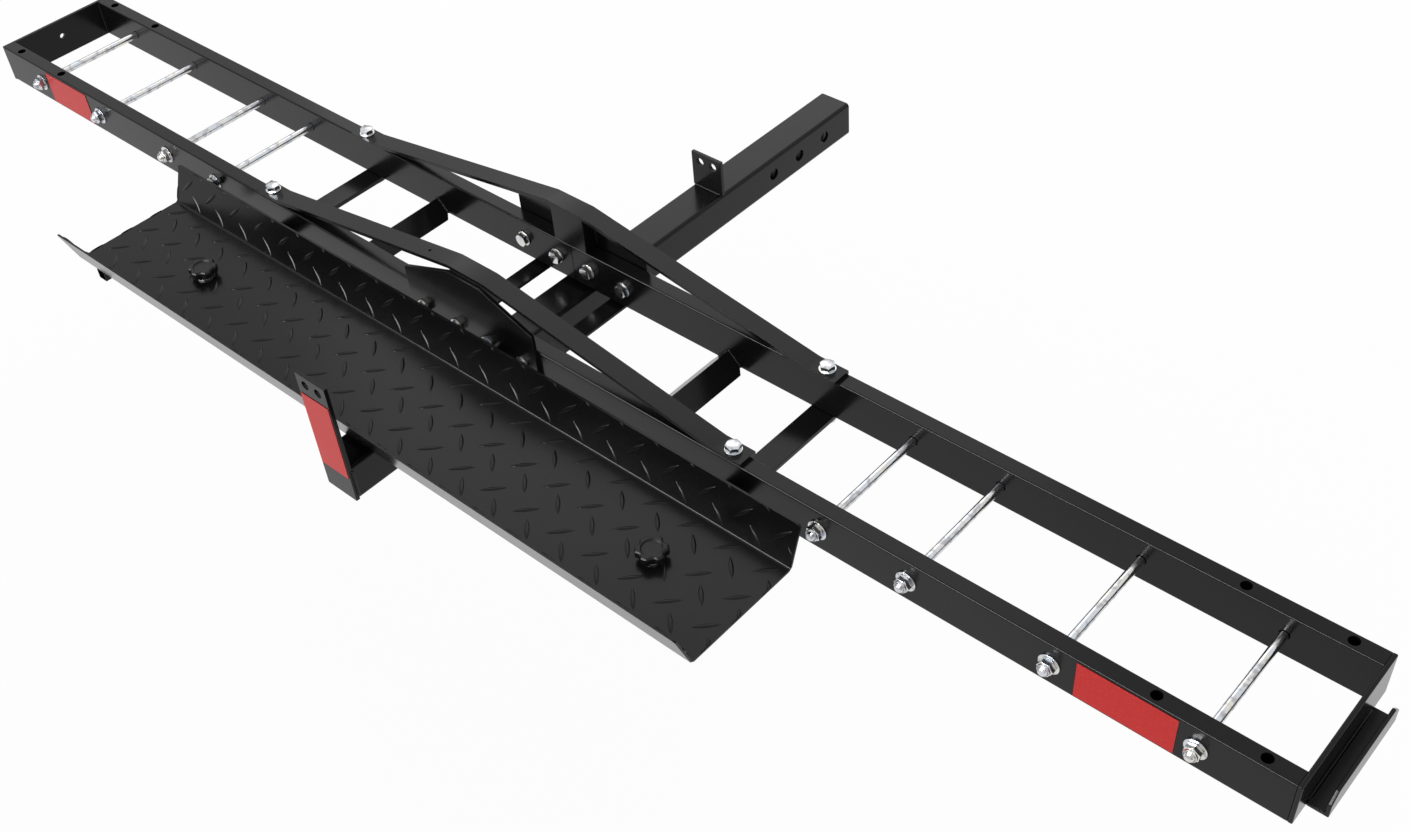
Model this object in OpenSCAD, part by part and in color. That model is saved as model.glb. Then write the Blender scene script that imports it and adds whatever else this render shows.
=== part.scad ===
// Hitch-mounted motorcycle carrier: a wheel track in two bolted halves across a square hitch tube,
// with arch bars over the joint and a loading ramp carried flat on two arms behind the track.
// X runs along the track, Y towards the tow vehicle and Z up. The origin is on the axis of the
// hitch tube, at the pin hole nearest the vehicle. Sizes are in millimetres.

/* [Hitch tube] */
// Side of the square hitch tube
beam_side = 50.8; // [45:0.1:60]
// Wall of the hitch tube
beam_wall = 4.8; // [3:0.1:7]
// Outside corner radius of the hitch tube
beam_corner = 5; // [2:0.5:8]
// Pin hole nearest the vehicle to the open end of the tube
pin_edge = 56.3; // [30:0.1:90]
// Distance between pin holes
pin_pitch = 55.4; // [30:0.1:70]
// Number of pin holes
pin_count = 3; // [1:1:4]
// Diameter of the pin holes
pin_hole_d = 16.5; // [12:0.1:20]
// Pin hole nearest the vehicle to the middle of the track
pin_to_track = 540.7; // [440:0.1:700]

/* [Upright plates] */
// Thickness of both upright plates
upright_t = 5; // [3:0.5:8]
// Width of both upright plates
upright_w = 50.8; // [46:0.1:60]
// Height of the rear upright plate, from the underside of the hitch tube
rear_upright_h = 171.6; // [150:0.1:200]
// Height of the front upright plate above the hitch tube
front_upright_h = 52; // [40:1:80]
// Front upright plate to the pin hole nearest the vehicle
front_upright_back = 212; // [190:1:260]
// Diameter of the two holes in each upright plate
upright_hole_d = 11.5; // [6:0.5:14]
// Distance between those two holes
upright_hole_pitch = 22; // [16:0.5:28]
// Those holes to the top edge of the plate
upright_hole_edge = 12.5; // [8:0.5:16]

/* [Track] */
// Length of the track over its end plates
track_len = 2094; // [2000:1:2300]
// Width of the track over its rails
track_w = 185; // [170:1:210]
// Width of a rail
rail_w = 20; // [16:0.5:26]
// Height of a rail
rail_h = 55; // [48:0.5:66]
// Wall of a rail
rail_wall = 2; // [1.5:0.1:3]
// Outside corner radius of a rail
rail_corner = 2; // [1:0.25:4]
// Gap where the two halves of the track meet
seam_gap = 1; // [0.4:0.1:3]
// Thickness of the end plates
end_plate_t = 5; // [3:0.5:8]
// Diameter of the hole in the middle of the left end plate
end_hole_d = 8; // [5:0.5:14]
// Height of that hole's centre below the rail tops
end_hole_drop = 25; // [16:0.5:36]
// Diameter of the strap holes in the rail tops
strap_hole_d = 12; // [8:0.5:13]
// Outer strap hole to the end of the track
strap_hole_edge = 38; // [25:1:60]
// Distance between the two strap holes of a rail
strap_hole_pitch = 108; // [60:1:120]

/* [Cross rods] */
// Diameter of the rods and of the bolts
rod_d = 10; // [8:0.5:11]
// End of the track to the outermost rod
rod_1_edge = 97; // [80:1:110]
// Outermost rod to the next one
rod_2_gap = 153; // [140:1:180]
// Second rod to the third one
rod_3_gap = 166; // [120:1:180]
// Third rod to the innermost one
rod_4_gap = 112; // [60:1:120]
// Depth of the rods and of the centre bolts below the rail tops
rod_drop = 26.5; // [24:0.5:30]
// Length of rod thread that stands out of a nut
thread_proud = 3; // [1:0.5:6]

/* [Centre plates] */
// Thickness of the centre plates
plate_t = 5; // [3:0.5:8]
// Half length of a centre plate
plate_half = 110; // [102:1:140]
// Height of its straight ends above the rail tops
plate_end_h = 25; // [12:1:32]
// Height of its top above the rail tops
plate_top_h = 55; // [46:0.5:56]
// Half length of its level top
plate_top_half = 28; // [20:1:40]
// Depth to which it laps the sides of the hitch tube
plate_lap = 6.6; // [4:0.1:15]
// Clearance between its notch and the hitch tube, on each side
notch_clear = 0.3; // [0.1:0.1:1]
// Inner bolt to the middle of the track
plate_bolt_in = 27; // [18:0.5:34]
// Distance between the two bolts of a rail
plate_bolt_pitch = 59.5; // [50:0.5:66]

/* [Ties] */
// Width of the flat ties beside the hitch tube
tie_w = 25; // [15:1:30]
// Thickness of those ties
tie_t = 4; // [3:0.5:5]
// Middle of those ties to the middle of the track
tie_x = 67; // [60:1:80]
// Depth of those ties below the rails
tie_drop = 5; // [1:0.5:6]
// Leg of the angle ties between the rails
angle_leg = 32; // [22:1:36]
// Thickness of the angle ties
angle_t = 3; // [2:0.5:5]
// Middle of the angle ties to the middle of the track
angle_x = 255; // [200:1:320]
// Depth of their ridge below the rail tops
angle_drop = 36; // [28:1:44]

/* [Arch bars] */
// Width of the arch bars
arch_w = 25; // [20:0.5:30]
// Thickness of the arch bars
arch_t = 5; // [4:0.5:7]
// Height of their level middle above the rail tops
arch_rise = 56; // [56:0.5:80]
// Half length of their level middle
arch_top_half = 30; // [28:1:50]
// Length of the end pads
arch_pad = 40; // [30:1:50]
// Diameter of the hanging hole in the rear arch bar
hang_hole_d = 4; // [2:0.5:6]
// Hanging hole to the end of the level middle
hang_hole_gap = 45; // [20:1:80]
// Width of the posts under the arch bars
post_w = 54; // [30:1:56]
// Wall of those posts
post_wall = 3; // [2:0.5:5]

/* [Ramp arms] */
// Width of the arms
arm_w = 32; // [28:1:50]
// Thickness of the arms
arm_t = 6; // [5:0.5:8]
// Middle of the arms, and the knobs, to the middle of the track
arm_x = 393; // [360:1:430]
// Arch bolts outside the middle of the arms
arch_bolt_out = 3; // [0:0.5:5]
// Length of the arms past the knobs
arm_past = 32; // [20:1:50]

/* [Ramp] */
// Length of the ramp
ramp_len = 1078; // [980:1:1200]
// Ramp's middle to the left of the track's middle
ramp_shift = 23; // [0:1:40]
// Width of the ramp's floor
ramp_floor = 155; // [140:1:180]
// Height of the ramp's sides
ramp_h = 52; // [40:0.5:60]
// Outward lean of the ramp's sides
ramp_lean = 19.5; // [8:0.5:24]
// Thickness of the tread plate
ramp_t = 2.5; // [2:0.1:4]
// Corners cut from the ends of the ramp's sides
ramp_cut = 3; // [1:0.5:12]
// Ramp to the outer face of the rear centre plate
ramp_gap = 16; // [15:0.5:40]
// Ramp to the rear upright plate
ramp_clear = 9; // [1:0.5:20]

/* [Ramp hook] */
// Width and depth of the hook bar under the ramp
hook_side = 15; // [12:0.5:20]
// Wall of the hook bar
hook_wall = 1.5; // [1:0.1:3]
// Hook bar to the left end of the ramp
hook_inset = 35; // [15:1:60]
// Clearance of the hook bar in its bracket, on each side
hook_clear = 1; // [0.5:0.25:3]
// Length of the bracket on the right end plate
bracket_len = 133; // [110:1:160]
// Thickness of the bracket
bracket_t = 4; // [3:0.5:6]
// Height of the bracket's lip
bracket_h = 28.4; // [24:0.1:34]
// Corners cut from the bracket's lip
bracket_cut = 11; // [4:1:14]

/* [Knobs] */
// Diameter over the lobes of a knob
knob_d = 37; // [36:1:56]
// Height of a knob's lobed head
knob_head_h = 11; // [10:0.5:24]
// Diameter of the neck under the head
knob_neck_d = 22; // [20:0.5:26]
// Height of that neck
knob_neck_h = 3; // [2:0.5:10]
// Number of lobes
knob_lobes = 6; // [5:1:8]
// Turn at which the lobes stand when a knob is tight
knob_set = 15; // [0:5:55]
// Radius of the scallops between the lobes
knob_scallop_r = 8; // [5:0.5:10]
// Depth of the scallops
knob_scallop = 3; // [1:0.5:4]
// Height and depth of the bevels round its head
knob_bevel = 2; // [1:0.5:3]
// Depth of the stud in the knob
knob_grip = 9; // [8:0.5:16]

/* [Reflectors] */
// Length of the rail reflectors
reflector_len = 105; // [60:1:108]
// Height of the rail reflectors
reflector_h = 48; // [35:1:50]
// Thickness of every reflector
reflector_t = 0.8; // [0.5:0.1:2]
// Rail reflector to the washer beside it
reflector_gap = 8; // [2:0.5:10]
// Height of the reflector on the rear upright plate
rear_reflector_h = 108; // [80:1:120]
// Bare margin at its sides
rear_reflector_margin = 2; // [0.5:0.5:5]
// Its top to the holes above it
rear_reflector_drop = 16; // [8:1:24]

/* [Nuts and washers] */
// Width across the flats of the nuts and bolt heads
hex_af = 16; // [14:0.5:19]
// Height of the plain nuts
nut_t = 8; // [6:0.5:10]
// Height of the lock nuts on the rods
lock_nut_t = 10; // [8:0.5:12]
// Height of the bolt heads
head_t = 6.4; // [5:0.1:8]
// Diameter of the washers on the rods
rod_washer_d = 24; // [20:0.5:26]
// Diameter of the other washers
washer_d = 20; // [19:0.5:24]
// Thickness of every washer
washer_t = 2; // [1:0.25:3]
// Clearance of a rod or bolt in its hole, across the diameter
hole_clear = 1; // [0.5:0.1:2]
// Clearance of the rods and centre bolts in the sides of the rails
side_hole_clear = 2; // [0.5:0.1:3]
// Clearance of a thread in its nut, across the diameter
thread_clear = 0.2; // [0.1:0.05:0.4]

/* [Hidden] */
$fn = 48;
// Reach of a cut past the faces that it goes through
over = 1;

beam_top = beam_side / 2;
rail_z = beam_top + arm_t;
rail_top = rail_z + rail_h;
half_w = track_w / 2;
rail_in = half_w - rail_w;
track_y = -pin_to_track;
track_end = track_len / 2;
rail_end = track_end - end_plate_t;
plate_out = half_w + plate_t;
rod_z = rail_top - rod_drop;
hole_d = rod_d + hole_clear;
rod_x1 = track_end - rod_1_edge;
rod_x2 = rod_x1 - rod_2_gap;
rod_x3 = rod_x2 - rod_3_gap;
rod_x4 = rod_x3 - rod_4_gap;
rod_xs = [-rod_x1, -rod_x2, -rod_x3, -rod_x4, rod_x4, rod_x3, rod_x2, rod_x1];
plate_bolt_xs = [plate_bolt_in, plate_bolt_in + plate_bolt_pitch];
arch_bolt_x = arm_x + arch_bolt_out;
arch_y = half_w - arch_w / 2;
hang_hole_x = arch_top_half + hang_hole_gap;
ramp_half = ramp_floor / 2 + ramp_lean;
ramp_y = track_y - plate_out - ramp_gap - ramp_half;
ramp_z = rail_z;
ramp_x0 = -ramp_shift - ramp_len / 2;
beam_rear = ramp_y - ramp_half - ramp_clear;
hook_x = ramp_x0 + hook_inset;
knob_washer_z = ramp_z + ramp_t;
knob_z = knob_washer_z + washer_t;
knob_nut_z = rail_z - arm_t - nut_t;
rear_plate_top = rear_upright_h - beam_top;

module ring(outer_d, bore_d, h) {
    difference() {
        cylinder(d = outer_d, h = h);
        translate([0, 0, -over]) cylinder(d = bore_d, h = h + 2 * over);
    }
}

module hexagon(h) {
    cylinder(d = hex_af / cos(30), h = h, $fn = 6);
}

module hex_nut(h) {
    difference() {
        hexagon(h);
        translate([0, 0, -over]) cylinder(d = rod_d + thread_clear, h = h + 2 * over);
    }
}

// A shank that starts under its hex head and runs upwards from z = 0
module hex_bolt(shank) {
    translate([0, 0, -head_t]) hexagon(head_t);
    translate([0, 0, -head_t / 2]) cylinder(d = rod_d, h = shank + head_t / 2);
}

module rounded(w, h, r) {
    square([w - 2 * r, h], center = true);
    square([w, h - 2 * r], center = true);
    for (x = [-1, 1], y = [-1, 1])
        translate([x * (w / 2 - r), y * (h / 2 - r)]) circle(r = r);
}

module tube_section(w, h, wall, r) {
    difference() {
        rounded(w, h, r);
        square([w - 2 * wall, h - 2 * wall], center = true);
    }
}

// A flat drawn in X and Z, stretched along Y about y = 0
module across(w) {
    translate([0, w / 2, 0]) rotate([90, 0, 0]) linear_extrude(w) children();
}

// A flat drawn in Y and Z, stretched along X from x = 0
module lengthways(len) {
    rotate([90, 0, 90]) linear_extrude(len) children();
}

// Turns what stands along Z to lie along Y, with its foot at y = 0
module towards_front() {
    rotate([-90, 0, 0]) children();
}

// The right front quarter of the track, or its mirror image
module quarter(sx, sy) {
    translate([0, track_y, 0])
        mirror([sx < 0 ? 1 : 0, 0, 0])
            mirror([0, sy < 0 ? 1 : 0, 0]) children();
}

module hitch_beam() {
    beam_len = pin_edge - beam_rear;
    color("#1c1c1e") difference() {
        translate([0, pin_edge - beam_len / 2, 0])
            across(beam_len) tube_section(beam_side, beam_side, beam_wall, beam_corner);
        for (i = [0 : pin_count - 1])
            translate([-beam_side / 2 - over, -i * pin_pitch, 0])
                rotate([0, 90, 0]) cylinder(d = pin_hole_d, h = beam_side + 2 * over);
    }
}

module upright_holes(z) {
    for (s = [-1, 1])
        translate([s * upright_hole_pitch / 2, -upright_t - over, z])
            towards_front() cylinder(d = upright_hole_d, h = upright_t + 2 * over);
}

module front_upright_plate() {
    color("#1c1c1e") translate([0, -front_upright_back, 0]) difference() {
        translate([-upright_w / 2, -upright_t, beam_top]) cube([upright_w, upright_t, front_upright_h]);
        upright_holes(beam_top + front_upright_h - upright_hole_edge);
    }
}

module rear_upright_plate() {
    color("#1c1c1e") translate([0, beam_rear, 0]) difference() {
        translate([-upright_w / 2, -upright_t, -beam_top]) cube([upright_w, upright_t, rear_upright_h]);
        upright_holes(rear_plate_top - upright_hole_edge);
    }
}

module rear_reflector() {
    film_w = upright_w - 2 * rear_reflector_margin;
    film_top = rear_plate_top - upright_hole_edge - rear_reflector_drop;
    color("#d22a24")
        translate([-film_w / 2, beam_rear - upright_t - reflector_t, film_top - rear_reflector_h])
            cube([film_w, reflector_t, rear_reflector_h]);
}

// Stands on the hitch tube with a notch that laps its sides
module centre_plate(sy) {
    notch = beam_side / 2 + notch_clear;
    foot = beam_top - plate_lap;
    color("#1c1c1e") quarter(1, sy) translate([0, half_w + plate_t / 2, 0]) difference() {
        across(plate_t) polygon([
            [notch, beam_top], [notch, foot], [plate_half, foot],
            [plate_half, rail_top + plate_end_h], [plate_top_half, rail_top + plate_top_h],
            [-plate_top_half, rail_top + plate_top_h], [-plate_half, rail_top + plate_end_h],
            [-plate_half, foot], [-notch, foot], [-notch, beam_top]]);
        for (x = plate_bolt_xs, s = [-1, 1])
            translate([s * x, -plate_t, rod_z])
                towards_front() cylinder(d = hole_d, h = 2 * plate_t);
    }
}

module centre_tie(sx) {
    color("#1c1c1e")
        translate([sx * tie_x - tie_w / 2, track_y - half_w, rail_z - tie_drop - tie_t])
            cube([tie_w, track_w, tie_t]);
}

module rail(sx, sy) {
    len = rail_end - seam_gap / 2;
    color("#232325") quarter(sx, sy) difference() {
        translate([seam_gap / 2, half_w - rail_w / 2, rail_z + rail_h / 2])
            lengthways(len) tube_section(rail_w, rail_h, rail_wall, rail_corner);
        for (x = concat(plate_bolt_xs, [rod_x1, rod_x2, rod_x3, rod_x4]))
            translate([x, rail_in - over, rod_z])
                towards_front() cylinder(d = rod_d + side_hole_clear, h = rail_w + 2 * over);
        translate([arch_bolt_x, arch_y, rail_z - over]) cylinder(d = hole_d, h = rail_h + 2 * over);
        for (i = [0, 1])
            translate([track_end - strap_hole_edge - i * strap_hole_pitch,
                       half_w - rail_w / 2, rail_top - 2 * rail_wall])
                cylinder(d = strap_hole_d, h = 2 * rail_wall + over);
    }
}

// The left end plate has a hole in its middle
module end_plate(sx) {
    color("#1c1c1e") quarter(sx, 1) difference() {
        translate([rail_end, -half_w, rail_z]) cube([end_plate_t, track_w, rail_h]);
        if (sx < 0)
            translate([rail_end - over, 0, rail_top - end_hole_drop])
                rotate([0, 90, 0]) cylinder(d = end_hole_d, h = end_plate_t + 2 * over);
    }
}

// An angle on the right end plate whose upright leg is the lip that the ramp hooks behind
module ramp_bracket() {
    reach = hook_side + 2 * hook_clear + bracket_t;
    color("#1c1c1e") translate([track_end, track_y, rail_z]) intersection() {
        across(bracket_len) polygon([
            [0, 0], [reach, 0], [reach, bracket_h], [reach - bracket_t, bracket_h],
            [reach - bracket_t, bracket_t], [0, bracket_t]]);
        lengthways(reach) polygon([
            [-bracket_len / 2, 0], [bracket_len / 2, 0],
            [bracket_len / 2, bracket_h - bracket_cut], [bracket_len / 2 - bracket_cut, bracket_h],
            [bracket_cut - bracket_len / 2, bracket_h], [-bracket_len / 2, bracket_h - bracket_cut]]);
    }
}

// An angle laid ridge up between the rails, with the ends of its feet cut back
module angle_tie(sx) {
    drop = angle_leg / sqrt(2);
    thick = angle_t * sqrt(2);
    ridge = rail_top - angle_drop;
    color("#1c1c1e") translate([sx * angle_x, track_y, 0]) intersection() {
        across(2 * rail_in) polygon([
            [0, ridge], [drop, ridge - drop], [drop - angle_t / sqrt(2), ridge - drop - angle_t / sqrt(2)],
            [0, ridge - thick], [angle_t / sqrt(2) - drop, ridge - drop - angle_t / sqrt(2)],
            [-drop, ridge - drop]]);
        translate([-angle_leg, 0, 0]) lengthways(2 * angle_leg) polygon([
            [rail_in, ridge], [rail_in, rail_z + angle_t], [rail_in - drop, rail_z + angle_t - drop],
            [drop - rail_in, rail_z + angle_t - drop], [-rail_in, rail_z + angle_t], [-rail_in, ridge]]);
    }
}

// A long bolt from the front rail's outer face to a lock nut on the rear rail's outer face
module cross_rod(i) {
    shank = track_w + 2 * washer_t + lock_nut_t + thread_proud;
    color("#c9ccd0") translate([rod_xs[i - 1], track_y + half_w + washer_t, rod_z])
        rotate([90, 0, 0]) hex_bolt(shank);
}

module rod_nuts() {
    color("#c9ccd0") for (x = rod_xs)
        translate([x, track_y - half_w - washer_t - lock_nut_t, rod_z])
            towards_front() hex_nut(lock_nut_t);
}

module rod_washers() {
    color("#c9ccd0") for (x = rod_xs, y = [-half_w - washer_t, half_w])
        translate([x, track_y + y, rod_z]) towards_front() ring(rod_washer_d, hole_d, washer_t);
}

// Puts its children at each bolt of the centre plates, with y = 0 at the rail's inner face
module at_plate_bolts() {
    for (sx = [-1, 1], sy = [-1, 1], x = plate_bolt_xs)
        quarter(sx, sy) translate([x, rail_in, rod_z]) towards_front() children();
}

module plate_bolts() {
    shank = washer_t + rail_w + plate_t + washer_t + nut_t + thread_proud;
    color("#c9ccd0") at_plate_bolts() translate([0, 0, -washer_t]) hex_bolt(shank);
}

module plate_nuts() {
    color("#c9ccd0") at_plate_bolts()
        translate([0, 0, rail_w + plate_t + washer_t]) hex_nut(nut_t);
}

module plate_washers() {
    color("#c9ccd0") at_plate_bolts() {
        translate([0, 0, -washer_t]) ring(washer_d, hole_d, washer_t);
        translate([0, 0, rail_w + plate_t]) ring(washer_d, hole_d, washer_t);
    }
}

// A flat bent up from a pad on each half of the track to a level middle
module arch_bar(sy) {
    inner = arch_bolt_x - arch_pad / 2;
    outer = arch_bolt_x + arch_pad / 2;
    bottom = [[-outer, 0], [-inner, 0], [-arch_top_half, arch_rise],
              [arch_top_half, arch_rise], [inner, 0], [outer, 0]];
    top = [for (i = [len(bottom) - 1 : -1 : 0]) bottom[i] + [0, arch_t]];
    color("#232325") quarter(sy, sy) translate([0, arch_y, rail_top]) difference() {
        across(arch_w) polygon(concat(bottom, top));
        for (s = [-1, 1])
            translate([s * arch_bolt_x, 0, -over]) cylinder(d = hole_d, h = arch_t + 2 * over);
        if (sy < 0)
            translate([hang_hole_x, 0, 0]) cylinder(d = hang_hole_d, h = arch_rise + 2 * arch_t);
    }
}

module arch_post(sy) {
    color("#1c1c1e") quarter(1, sy) translate([0, half_w - rail_w / 2, rail_top])
        linear_extrude(arch_rise) difference() {
            square([post_w, rail_w], center = true);
            square([post_w - 2 * post_wall, rail_w - 2 * post_wall], center = true);
        }
}

// Puts its children at each arch bolt, with z = 0 at the rail tops
module at_arch_bolts() {
    for (sx = [-1, 1], sy = [-1, 1])
        quarter(sx, sy) translate([arch_bolt_x, arch_y, rail_top]) children();
}

module arch_bolts() {
    shank = washer_t + arch_t + rail_h + arm_t + washer_t + nut_t + thread_proud;
    color("#c9ccd0") at_arch_bolts()
        translate([0, 0, arch_t + washer_t]) mirror([0, 0, 1]) hex_bolt(shank);
}

module arch_nuts() {
    color("#c9ccd0") at_arch_bolts()
        translate([0, 0, -rail_h - arm_t - washer_t - nut_t]) hex_nut(nut_t);
}

module arch_washers() {
    color("#c9ccd0") at_arch_bolts() {
        translate([0, 0, arch_t]) ring(washer_d, hole_d, washer_t);
        translate([0, 0, -rail_h - arm_t - washer_t]) ring(washer_d, hole_d, washer_t);
    }
}

// A flat under both rails that carries the ramp
module ramp_arm(sx) {
    rear = ramp_y - arm_past;
    color("#1c1c1e") translate([0, 0, rail_z - arm_t]) difference() {
        translate([sx * arm_x - arm_w / 2, rear, 0]) cube([arm_w, track_y + half_w - rear, arm_t]);
        for (sy = [-1, 1])
            translate([sx * arch_bolt_x, track_y + sy * arch_y, -over])
                cylinder(d = hole_d, h = arm_t + 2 * over);
        translate([sx * arm_x, ramp_y, -over]) cylinder(d = hole_d, h = arm_t + 2 * over);
    }
}

module knob_nuts() {
    color("#c9ccd0") for (sx = [-1, 1])
        translate([sx * arm_x, ramp_y, knob_nut_z]) hex_nut(nut_t);
}

module rail_reflector(sx) {
    outer = rod_x1 - rod_washer_d / 2 - reflector_gap;
    color("#d22a24") quarter(sx, -1)
        translate([outer - reflector_len, half_w, rail_z + (rail_h - reflector_h) / 2])
            cube([reflector_len, reflector_t, reflector_h]);
}

// A trough of tread plate with leaning sides
module ramp() {
    side_t = ramp_t * sqrt(pow(ramp_lean, 2) + pow(ramp_h, 2)) / ramp_h;
    fold = ramp_floor / 2 - side_t + ramp_lean * ramp_t / ramp_h;
    color("#1f1f21") translate([ramp_x0, ramp_y, ramp_z]) difference() {
        intersection() {
            lengthways(ramp_len) polygon([
                [-ramp_half, ramp_h], [-ramp_floor / 2, 0], [ramp_floor / 2, 0], [ramp_half, ramp_h],
                [ramp_half - side_t, ramp_h], [fold, ramp_t], [-fold, ramp_t], [side_t - ramp_half, ramp_h]]);
            across(2 * ramp_half) polygon([
                [0, 0], [ramp_len, 0], [ramp_len, ramp_h - ramp_cut], [ramp_len - ramp_cut, ramp_h],
                [ramp_cut, ramp_h], [0, ramp_h - ramp_cut]]);
        }
        for (sx = [-1, 1])
            translate([sx * arm_x - ramp_x0, 0, -over]) cylinder(d = hole_d, h = ramp_t + 2 * over);
    }
}

module ramp_hook_bar() {
    color("#1c1c1e") translate([hook_x + hook_side / 2, ramp_y, ramp_z - hook_side / 2])
        across(ramp_floor) difference() {
            square(hook_side, center = true);
            square(hook_side - 2 * hook_wall, center = true);
        }
}

// A lobed head on a round neck, with a sunk middle in its top
module knob(sx) {
    face_d = knob_d - 2 * knob_bevel;
    top = knob_neck_h + knob_head_h;
    color("#161616") translate([sx * arm_x, ramp_y, knob_z]) difference() {
        union() {
            cylinder(d = knob_neck_d, h = knob_neck_h + knob_bevel);
            translate([0, 0, knob_neck_h]) cylinder(d1 = face_d, d2 = knob_d, h = knob_bevel);
            translate([0, 0, knob_neck_h + knob_bevel])
                cylinder(d = knob_d, h = knob_head_h - 2 * knob_bevel);
            translate([0, 0, top - knob_bevel]) cylinder(d1 = knob_d, d2 = face_d, h = knob_bevel);
        }
        for (i = [1 : knob_lobes])
            rotate([0, 0, knob_set + i * 360 / knob_lobes])
                translate([knob_d / 2 - knob_scallop + knob_scallop_r, 0, knob_neck_h - over])
                    cylinder(r = knob_scallop_r, h = knob_head_h + 2 * over);
        translate([0, 0, top - knob_bevel]) cylinder(d = knob_neck_d, h = knob_bevel + over);
        translate([0, 0, -over]) cylinder(d = rod_d, h = knob_grip + over);
    }
}

module knob_stud(sx) {
    below = washer_t + ramp_t + arm_t + nut_t + thread_proud;
    color("#c9ccd0") translate([sx * arm_x, ramp_y, knob_z - below])
        cylinder(d = rod_d, h = below + knob_grip);
}

module knob_washer(sx) {
    color("#c9ccd0") translate([sx * arm_x, ramp_y, knob_washer_z]) ring(rod_washer_d, hole_d, washer_t);
}

hitch_beam();
front_upright_plate();
rear_upright_plate();
rear_reflector();
centre_plate(-1);  // rear_centre_plate
centre_plate(1);  // front_centre_plate
centre_tie(-1);  // left_centre_tie
centre_tie(1);  // right_centre_tie
rail(-1, -1);  // rear_left_rail
rail(1, -1);  // rear_right_rail
rail(-1, 1);  // front_left_rail
rail(1, 1);  // front_right_rail
end_plate(-1);  // left_end_plate
end_plate(1);  // right_end_plate
ramp_bracket();
angle_tie(-1);  // left_angle_tie
angle_tie(1);  // right_angle_tie
cross_rod(1);  // cross_rod_1
cross_rod(2);  // cross_rod_2
cross_rod(3);  // cross_rod_3
cross_rod(4);  // cross_rod_4
cross_rod(5);  // cross_rod_5
cross_rod(6);  // cross_rod_6
cross_rod(7);  // cross_rod_7
cross_rod(8);  // cross_rod_8
rod_nuts();
rod_washers();
plate_bolts();
plate_nuts();
plate_washers();
arch_bar(-1);  // rear_arch_bar
arch_bar(1);  // front_arch_bar
arch_post(-1);  // rear_arch_post
arch_post(1);  // front_arch_post
arch_bolts();
arch_nuts();
arch_washers();
ramp_arm(-1);  // left_ramp_arm
ramp_arm(1);  // right_ramp_arm
knob_nuts();
rail_reflector(-1);  // left_rail_reflector
rail_reflector(1);  // right_rail_reflector
ramp();
ramp_hook_bar();
knob(-1);  // left_knob
knob_stud(-1);  // left_knob_stud
knob_washer(-1);  // left_knob_washer
knob(1);  // right_knob
knob_stud(1);  // right_knob_stud
knob_washer(1);  // right_knob_washer
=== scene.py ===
"""The looks of a hitch motorcycle carrier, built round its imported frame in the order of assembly."""

import math

import bmesh
import bpy
from mathutils import Matrix, Vector


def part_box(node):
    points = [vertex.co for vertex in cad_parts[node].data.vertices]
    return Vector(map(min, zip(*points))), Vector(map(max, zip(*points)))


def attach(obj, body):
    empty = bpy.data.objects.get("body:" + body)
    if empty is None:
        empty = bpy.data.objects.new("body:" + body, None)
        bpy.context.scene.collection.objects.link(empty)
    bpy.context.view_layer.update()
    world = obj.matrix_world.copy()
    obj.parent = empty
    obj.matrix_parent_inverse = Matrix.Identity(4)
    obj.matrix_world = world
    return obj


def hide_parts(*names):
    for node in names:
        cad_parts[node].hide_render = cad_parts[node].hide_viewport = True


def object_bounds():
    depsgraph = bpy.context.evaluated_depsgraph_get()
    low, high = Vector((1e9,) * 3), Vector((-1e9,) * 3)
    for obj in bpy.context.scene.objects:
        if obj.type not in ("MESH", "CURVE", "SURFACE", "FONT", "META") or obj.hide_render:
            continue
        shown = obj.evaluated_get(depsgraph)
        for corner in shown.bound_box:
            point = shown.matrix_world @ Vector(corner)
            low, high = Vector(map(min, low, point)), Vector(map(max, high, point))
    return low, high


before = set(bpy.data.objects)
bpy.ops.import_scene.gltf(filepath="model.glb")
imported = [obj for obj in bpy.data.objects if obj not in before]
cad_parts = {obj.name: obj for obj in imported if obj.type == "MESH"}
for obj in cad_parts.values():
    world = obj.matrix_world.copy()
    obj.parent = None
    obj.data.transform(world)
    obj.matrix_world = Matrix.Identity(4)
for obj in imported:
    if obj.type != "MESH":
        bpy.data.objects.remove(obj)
cad_box = [list(corner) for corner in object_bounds()]


# Hitch tube
# A 2 inch square steel tube, sawn off square, deburred and drilled through for three hitch pins.
# Everything else is welded or bolted to it, and all of its steel is powder coated in satin black.

mm = 0.001


class Wire:
    """An output socket. Sums, products and powers of wires and numbers add their Math nodes."""

    def __init__(self, tree, socket):
        self.tree = tree
        self.socket = socket

    def __getitem__(self, name):
        return Wire(self.tree, self.socket.node.outputs[name])

    def __add__(self, other):
        return self.tree.calc("ADD", self, other)

    def __sub__(self, other):
        return self.tree.calc("SUBTRACT", self, other)

    def __rsub__(self, other):
        return self.tree.calc("SUBTRACT", other, self)

    def __mul__(self, other):
        return self.tree.calc("MULTIPLY", self, other)

    def __truediv__(self, other):
        return self.tree.calc("DIVIDE", self, other)

    def __pow__(self, other):
        return self.tree.calc("POWER", self, other)

    def __gt__(self, other):
        return self.tree.calc("GREATER_THAN", self, other)

    __radd__ = __add__
    __rmul__ = __mul__


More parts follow.
